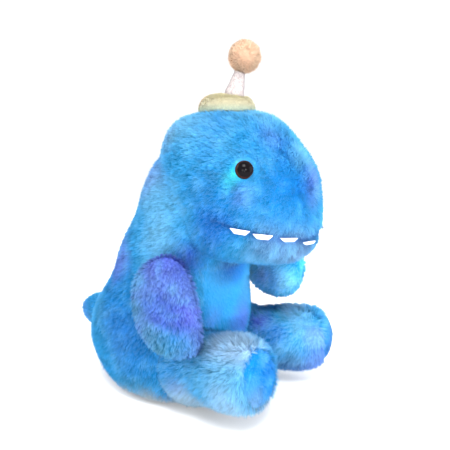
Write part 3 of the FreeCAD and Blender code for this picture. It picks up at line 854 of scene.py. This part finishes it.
def bulge(form, panel, height):
    """Domes a flat panel outwards, as the stuffing behind it does."""
    chosen = panel_mask(form, panel)
    middle = form["points"][chosen].mean(axis=0)
    outward = unit(form["normals"][chosen].mean(axis=0)[None, :])[0]
    gap = form["points"] - middle
    along = gap @ outward
    across = np.linalg.norm(gap - np.outer(along, outward), axis=1)
    rise = height * np.clip(1 - (across / across[chosen].max())**2, 0, 1) * (np.abs(along) < FLAT_REACH)
    form["points"] = form["points"] + outward * rise[:, None]
    move_points(form["mesh"], form["points"])
    form["normals"] = array_of(form["mesh"], "normal")


def limb(name, panels, stuffing, rounds=6):
    return sew(stuffed(name + "_body", panels + [stuffing], rounds=rounds), panels)


def arm_form(side):
    return limb("arm_" + side, [f"arm_{face}_panel_{side}" for face in ("outer", "inner")],
                "arm_stuffing_" + side)


def leg_form(side):
    return limb("leg_" + side, ["leg_panel_" + side, "sole_panel_" + side], "leg_stuffing_" + side, 8)


body = sew(stuffed("body_form", [*BODY_COATS, "torso_stuffing", "head_stuffing"], rounds=9),
           list(BODY_COATS), mouth="jaw_panel", studs=["eye_washer_" + side for side in SIDES],
           cloths=BODY_CLOTHS)
arms = {side: arm_form(side) for side in SIDES}
legs = {side: leg_form(side) for side in SIDES}
bulge(legs["right"], "sole_panel_right", 3 * MM)
bulge(legs["left"], "sole_panel_left", 7 * MM)
tail = limb("tail", ["tail_panel_" + side for side in SIDES], "tail_stuffing")

hide_where_covered(body, [*legs.values(), *arms.values(), tail])
for form in (*arms.values(), *legs.values(), tail):
    hide_where_covered(form, [body])


def dress_body():
    """Torso, neck and head are one sack of cloth."""
    points = body["points"]
    low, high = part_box("flap_panel")
    at_flap = points[:, 1] > low[1] - FLAP_REACH
    for k in (0, 2):
        at_flap &= (points[:, k] > low[k] + FLAP_HEM) & (points[:, k] < high[k] - FLAP_HEM)
    body["density"][at_flap] = 0
    body["pile"] *= (1 - SEAM_CUT * body["seam"]) * (1 - LIP_CUT * body["lip"])
    body["pile"] *= np.clip(points[:, 2] / FLOOR_FADE, 0.35, 1)
    for side in SIDES:
        gap = np.linalg.norm(points - centre("eye_washer_" + side), axis=1)
        body["pile"] *= np.clip((gap - EYE_FADE[0]) / EYE_FADE[1], 0.30, 1)
        body["density"][gap < EYE_RADIUS + 0.5 * MM] = 0
    mottle = np.where(panel_mask(body, "belly_panel"), SMOOTH_BELLY, 1.0)
    colour = tinted(points, "azure", TORSO_SPOTS + HEAD_SPOTS, mist=16, mottle=mottle)
    # painted shade darkens the crease of the mouth
    colour = mix(colour, tint("painted_shade_navy"), 0.55 * body["lip"])
    # painted shade: the bare cloth under the flap is coloured dark
    colour[at_flap] = tint("painted_shade_navy")
    finish_form(body, colour, "plush_blue", "torso_stuffing", "head_stuffing")
    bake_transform(body["piece"])
    below = np.clip((NECK_LEVEL - points[:, 2]) / CHIN_FADE + 0.5, 0, 1)[:, None]
    snout = within("head_gusset", (0.5, 0, 0.35))
    combing = combed_field(body, DOWN) * below + combed_from(body, snout) * (1 - below)
    for panel, (name, length, material, area) in BODY_COATS.items():
        slot = "plush_base" if panel == "base_panel" else "plush_blue"
        coat = grow(name, body, panel_mask(body, panel), combing, colour, material, slot,
                    length, area * MM**2)
        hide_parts(panel)
        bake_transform(coat)


def dress_arm(side):
    form = arms[side]
    colour = tinted(form["points"], "periwinkle" if side == "right" else "azure", ARM_SPOTS)
    finish_form(form, colour, "plush_arm", "arm_stuffing_" + side)
    root = LIMB_JOINTS["arm_" + side]
    along = Vector(centre("arm_stuffing_" + side)) - root
    combing = combed_field(form, along.normalized() * ARM_NAP[side] + ARM_FALL)
    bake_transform(form["piece"])
    for face in ("outer", "inner"):
        panel = f"arm_{face}_panel_{side}"
        coat = grow(f"arm_{face}_coat_{side}", form, panel_mask(form, panel), combing, colour,
                    LIMB_FUR, "plush_arm", gather=LIMB_GATHER)
        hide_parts(panel)
        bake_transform(coat)


def dress_leg(side):
    form = legs[side]
    colour = tinted(form["points"], "azure", LEG_SPOTS, LEG_MIST[side])
    is_sole = panel_mask(form, "sole_panel_" + side)
    colour[is_sole] = tinted(form["points"][is_sole], "cerulean", SOLE_SPOTS, LEG_MIST[side])
    finish_form(form, colour, "plush_leg", "leg_stuffing_" + side)
    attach(form["piece"], "leg_" + side)
    combing = combed_field(form, LEG_NAP, swirl=0.30)
    coat = grow("leg_coat_" + side, form, panel_mask(form, "leg_panel_" + side), combing, colour,
                LIMB_FUR, "plush_leg", LONG_PILE, gather=LIMB_GATHER)
    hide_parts("leg_panel_" + side)
    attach(coat, "leg_" + side)
    sole = grow("sole_coat_" + side, form, is_sole, combing, colour, SHORT_FUR, "plush_sole", SHORT_PILE)
    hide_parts("sole_panel_" + side)
    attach(sole, "leg_" + side)


def dress_tail():
    colour = tinted(tail["points"], "azure", TAIL_SPOTS)
    finish_form(tail, colour, "plush_blue", "tail_stuffing")
    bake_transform(tail["piece"])
    combing = combed_field(tail, (0, 1, -0.25))
    for side in SIDES:
        panel = "tail_panel_" + side
        coat = grow("tail_coat_" + side, tail, panel_mask(tail, panel), combing, colour,
                    FUR, "plush_blue")
        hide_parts(panel)
        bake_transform(coat)


def dress_flap():
    """The furred cover of the battery opening, which lifts on its upper edge."""
    form = sew(stuffed("flap_body", ["flap_panel"], voxel=0.8 * MM, rounds=2), ["flap_panel"],
               inset=0.2 * MM, lump=0)
    colour = tinted(form["points"], "azure", TORSO_SPOTS)
    finish_form(form, colour, "plush_blue", "flap_panel")
    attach(form["piece"], "back_flap")
    outer = form["normals"][:, 1] > 0.3
    coat = grow("flap_coat", form, outer, combed_field(form, DOWN), colour, FUR, "plush_blue", PILE * 0.8)
    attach(coat, "back_flap")


# ------------------------ hat
FOLD_DEPTH = 0.12           # millimetres
FOLD_TURN = 20              # how far the folds wind round the cone, in radians
YARN_ENDS = 16000
YARN_ROOT = 0.72            # places in the pompom, as shares of its radius
YARN_LENGTH = 0.34
KNOT_RADIUS = 0.84


def dress_hat():
    """The puffed brim, pale green below and cream above."""
    brim = sew(stuffed("hat_brim_body", ["hat_brim_cover", "hat_brim_stuffing"], 1.4 * MM),
               ["hat_brim_cover"], inset=0.8 * MM, lump=0.5 * MM)
    points = brim["points"]
    low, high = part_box("hat_brim_cover")
    rise = np.clip((points[:, 2] - low[2]) / (high[2] - low[2]), 0, 1)
    colour = mix(np.tile(tint("mint"), (len(points), 1)), tint("cream"), np.clip(rise * 2.2, 0, 1))
    colour = mix(colour, tint("peach"), 0.45 * np.clip(cloud(points, 14 * MM, 61) * 2, 0, 1))
    finish_form(brim, colour, "hat_plush", "hat_brim_cover", "hat_brim_stuffing", fill=0.8)
    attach(brim["piece"], "head")
    everywhere = np.ones(len(points), bool)
    combing = combed_from(brim, within("hat_brim_cover", (0.5, 0.5, 0.9)))
    coat = grow("hat_brim_coat", brim, everywhere, combing, colour, HAT_FUR, "hat_plush",
                2.4 * MM, 0.13 * MM**2, width=0.26 * MM, tuft_size=1.4 * MM, gather=0.15)
    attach(coat, "head")


def glitter_material():
    """Small flakes of two greys, with painted shade where the cloth turns away from the view."""
    material, tree, shader = new_material("silver_glitter_cloth")
    place = node(tree, "ShaderNodeTexCoord")
    flakes = node(tree, "ShaderNodeTexVoronoi")
    flakes.inputs["Scale"].default_value = FLAKE_SCALE
    tree.links.new(place.outputs["Object"], flakes.inputs["Vector"])
    tone = node(tree, "ShaderNodeSeparateColor")
    tree.links.new(flakes.outputs["Color"], tone.inputs[0])
    pale = blend_colour(tree, tone.outputs[0], rgba("#8E8284"), rgba("#C8C1BE"))
    # painted shade: darker towards the cone's edges as seen
    edge = node(tree, "ShaderNodeLayerWeight")
    edge.inputs["Blend"].default_value = 0.4
    painted_edge_shade = calculate(tree, "MULTIPLY", calculate(tree, "POWER", edge.outputs["Facing"], 1.5), 0.7)
    tree.links.new(blend_colour(tree, painted_edge_shade, pale, rgba("#5F5868")), shader.inputs["Base Color"])
    set_values(shader, Roughness=0.45, Specular_IOR_Level=0.25)
    add_bump(tree, shader, flakes.outputs["Color"], 0.6, 0.5 * MM)
    return material


def make_cone():
    """A rolled cone of glitter cloth, with a spiral of shallow folds."""
    piece = stuffed("hat_cone", ["hat_cone_cover", "hat_cone_foam"], 0.7 * MM, 2)
    points = array_of(piece.data)
    normals = array_of(piece.data, "normal")
    low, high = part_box("hat_cone_cover")
    turn = np.arctan2(points[:, 1] - points[:, 1].mean(), points[:, 0])
    folds = np.sin(turn * 2 + (points[:, 2] - low[2]) / (high[2] - low[2]) * FOLD_TURN)
    move_points(piece.data, points + normals * (folds * FOLD_DEPTH * MM)[:, None])
    cover(piece, glitter_material())
    fix(piece, "hat_cone", "hat_glitter", "hat_cone_cover", "hat_cone_foam")


def make_pompom():
    """A ball of cut yarn ends standing out from a tied core."""
    low, high = (Vector(corner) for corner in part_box("pompom_yarn"))
    middle = np.array((low + high) / 2)
    radius = (high.x - low.x) / 2
    out = unit(RANDOM.normal(0, 1, (YARN_ENDS, 3)))
    roots = middle + out * radius * YARN_ROOT
    browned = np.clip(0.5 + cloud(roots, 7 * MM, 71), 0, 1) * 0.7
    colour = mix(np.tile(tint("peach"), (YARN_ENDS, 1)), tint("tan"), browned)
    sideways = RANDOM.normal(0, 1, (YARN_ENDS, 3))
    lengths = np.full(YARN_ENDS, radius * YARN_LENGTH)
    yarn = strands("pompom_yarn_ends", roots, out, sideways, lengths, colour, width=0.30 * MM,
                   lift=(6.0, 3.0), tuft_size=1.4 * MM, gather=0.05, stray=0.2)
    cover(yarn, YARN)
    fix(yarn, "pompom", "yarn", "pompom_yarn")
    core = stuffed("pompom_knot", ["pompom_core"], 0.7 * MM, 2)
    points = array_of(core.data)
    move_points(core.data, middle + unit(points - middle) * radius * KNOT_RADIUS)
    paint(core.data, np.tile(tint("peach"), (len(points), 1)))
    cover(core, CLOTH)
    fix(core, "pompom", "yarn", "pompom_core")


# ------------------------ face
TOOTH_SHARE = (0.34, 0.30)  # height kept of a front tooth, and how much more of a rear one
TOOTH_OUT = 1.5             # millimetres
FELT_GRAIN = 0.12           # millimetres
PUPIL = (0.004, 0.003, 0.004, 1)
# painted reflection: the brown ring near the eye's rim
PAINTED_RIM_REFLECTION = (0.035, 0.013, 0.008, 1)
PAINTED_RIM_PLACE = (0.78, 0.90)   # black up to here, the painted brown reflection from here, as shares of the eye's radius


def make_teeth():
    """Blunt felt teeth along the mouth, standing in front of the pile.

    A front tooth keeps only its lower end. One further back keeps its top and is cut short below.
    """
    piece = stuffed("felt_tooth_row", ["felt_teeth"], 0.35 * MM, 2, shells="all")
    points = array_of(piece.data)
    normals = array_of(piece.data, "normal")
    low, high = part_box("jaw_panel")
    middle = np.array(((low[0] + high[0]) / 2, (low[1] + high[1]) / 2 + 20 * MM, 0))
    outward = unit((points - middle) * (1, 1, 0))
    start, end = points.min(axis=0), points.max(axis=0)
    label = shells_of(piece.data)
    for shell in np.unique(label):
        own = label == shell
        tooth = points[own]
        rearward = np.clip((tooth[:, 1].mean() - start[1]) / (end[1] - start[1]), 0, 1)
        keep = TOOTH_SHARE[0] + TOOTH_SHARE[1] * np.clip(rearward * 2, 0, 1)
        top, bottom = tooth[:, 2].max(), tooth[:, 2].min()
        anchor = top + (bottom - top) * np.clip(1 - rearward * 5, 0, 1)
        points[own, 2] = anchor + (tooth[:, 2] - anchor) * keep
        points[own, 2] += (tooth[:, 1] - tooth[:, 1].mean()) * TOOTH_SLANT
    grain = cloud(points, 1.6 * MM, 81) * FELT_GRAIN * MM
    points = points + outward * TOOTH_OUT * MM + normals * grain[:, None]
    move_points(piece.data, points)
    cover(piece, speckled("white_felt", "#CFD2E4", "#AEB5CF", 900, 0.95, bump=0.6, spec=0.1))
    fix(piece, "head", "felt_white", "felt_teeth")


def eye_material(side):
    """Polished black, with a thin brown ring painted near the rim as a reflection."""
    material, tree, shader = new_material("eye_" + side + "_gloss")
    middle = Vector(centre("eye_washer_" + side))
    sign = 1 if side == "left" else -1
    outward = Vector((sign * EYE_OUT[0], *EYE_OUT[1:])).normalized()
    place = node(tree, "ShaderNodeTexCoord").outputs["Object"]
    shifted = node(tree, "ShaderNodeVectorMath", operation="SUBTRACT")
    tree.links.new(place, shifted.inputs[0])
    shifted.inputs[1].default_value = middle
    across = node(tree, "ShaderNodeVectorMath", operation="CROSS_PRODUCT")
    tree.links.new(shifted.outputs[0], across.inputs[0])
    across.inputs[1].default_value = outward
    size = node(tree, "ShaderNodeVectorMath", operation="LENGTH")
    tree.links.new(across.outputs[0], size.inputs[0])
    ramp = node(tree, "ShaderNodeValToRGB")
    reach = calculate(tree, "MULTIPLY", size.outputs["Value"], 1 / EYE_RADIUS)
    tree.links.new(reach, ramp.inputs[0])
    for stop, position, colour in zip(ramp.color_ramp.elements, PAINTED_RIM_PLACE, (PUPIL, PAINTED_RIM_REFLECTION)):
        stop.position = position
        stop.color = colour
    tree.links.new(ramp.outputs[0], shader.inputs["Base Color"])
    set_values(shader, Roughness=0.03, Specular_IOR_Level=0.07)
    return material


def finish_hardware():
    """Materials of the CAD nodes that stay: eyes, light module, tapes and wires."""
    tape = speckled("woven_tape", "#2E6FC4", "#4C8FE0", 1500, 0.85, bump=0.8)
    wire = speckled("wire_insulation", "#B3221C", "#8E1713", 900, 0.45)
    can = speckled("cell_can", "#B9BBBF", "#9FA2A8", 700, 0.3, metal=0.9)
    nylon = speckled("nylon_washer", "#E4E3DD", "#D3D2CB", 400, 0.5)
    resin = speckled("clear_resin", "#CFF4FF", "#A8E6FF", 500, 0.12, coat=0.6, bump=0.0)
    looks = {
        "loop_strip": tape, "hook_strip": tape, "torso_led_wires": wire, "head_led_wires": wire,
        "battery_cell_1": can, "battery_cell_2": can, "battery_cell_3": can,
        "module_case": speckled("moulded_case", "#EDECE4", "#E2E1D8", 350, 0.45),
        "battery_door": speckled("moulded_door", "#E8E7DF", "#DCDBD2", 500, 0.50, bump=0.25),
        "battery_contacts": speckled("nickel_contacts", "#C6C6C2", "#ADADA8", 900, 0.25, metal=1.0),
        "circuit_board": speckled("circuit_laminate", "#0E6B35", "#0A4F28", 600, 0.45, coat=0.3),
        "battery_door_screw": speckled("zinc_screw", "#A9ABAE", "#85878B", 900, 0.35, metal=1.0),
        "slide_switch_knob": speckled("switch_knob", "#2B2C30", "#3A3B40", 900, 0.5, bump=0.4),
    }
    for side in SIDES:
        looks[f"chest_led_{side}"] = resin
        looks[f"cheek_led_{side}"] = resin
        looks[f"eye_washer_{side}"] = nylon
        looks[f"eye_{side}"] = eye_material(side)
    for name, material in looks.items():
        cover(frame["nodes"][name], material)


dress_body()
for side in SIDES:
    dress_arm(side)
    dress_leg(side)
dress_tail()
dress_flap()
dress_hat()
make_cone()
make_pompom()
make_teeth()
finish_hardware()


# ------------------------ floor, light and camera
FLOOR_HALF = 4.0
WORLD_STRENGTH = 1.1
LAMP_AIM = (0, -0.03, 0.17)
FAR_ARM = (0.070, -0.10, 0.115)
# Lamp: degrees round from the front, degrees up, distance and width in metres, watts.
LAMPS = {
    "key": (-50, 50, 1.2, 0.45, 12),
    "front": (-63, 8, 1.2, 0.20, 4.8),
    "side": (-36, 14, 1.2, 0.20, 4.2),
    "fill": (20, 12, 1.15, 0.8, 6),
    "rim": (-140, 35, 1.1, 0.5, 4),
    "far": (115, 30, 1.2, 0.7, 7),
}
CAMERA_AIM = Vector((0, -0.050, 0.168))
CAMERA_WAY = (-57, 10)      # degrees round from the front, degrees up
CAMERA_DISTANCE = 0.490
LENS = 41.36
SENSOR = 36


def make_floor():
    corners = [(x * FLOOR_HALF, y * FLOOR_HALF, 0) for x, y in ((-1, -1), (1, -1), (1, 1), (-1, 1))]
    mesh = bpy.data.meshes.new("floor")
    mesh.from_pydata(corners, [], [(0, 1, 2, 3)])
    floor = show("floor", mesh)
    cover(floor, speckled("pale_floor", "#FDFDFD", "#F9F9F9", 3, 0.9, bump=0.0, spec=0.0))


def seen_from(azimuth, elevation):
    """The way to a place at these degrees round from the toy's front, and up."""
    azimuth, elevation = math.radians(azimuth), math.radians(elevation)
    return Vector((math.sin(azimuth) * math.cos(elevation), -math.cos(azimuth) * math.cos(elevation),
                   math.sin(elevation)))


def area_light(name, azimuth, elevation, distance, size, power, aim=LAMP_AIM, spread=180):
    lamp = bpy.data.lights.new(name, "AREA")
    lamp.size = size
    lamp.energy = power
    lamp.spread = math.radians(spread)
    way = seen_from(azimuth, elevation)
    thing = show(name, lamp)
    thing.location = Vector(aim) + way * distance
    thing.rotation_euler = way.to_track_quat("Z", "Y").to_euler()
    thing.visible_camera = False


def make_light():
    world = bpy.data.worlds.new("studio")
    world.use_nodes = True
    set_values(world.node_tree.nodes["Background"], Color=(1, 1, 1, 1), Strength=WORLD_STRENGTH)
    bpy.context.scene.world = world
    for name, lamp in LAMPS.items():
        area_light(name, *lamp)
    area_light("low", -52, 2, 0.75, 0.12, 0.16, aim=FAR_ARM, spread=12)
    bpy.context.scene.view_settings.view_transform = "Standard"


def make_camera():
    """Eye level a little above the toy's middle, from its right front."""
    out = seen_from(*CAMERA_WAY)
    data = bpy.data.cameras.new("camera")
    data.lens = LENS
    data.sensor_width = SENSOR
    camera = show("camera", data)
    camera.location = CAMERA_AIM + out * CAMERA_DISTANCE
    camera.rotation_euler = (-out).to_track_quat("-Z", "Y").to_euler()
    bpy.context.scene.camera = camera


make_floor()
make_light()
make_camera()
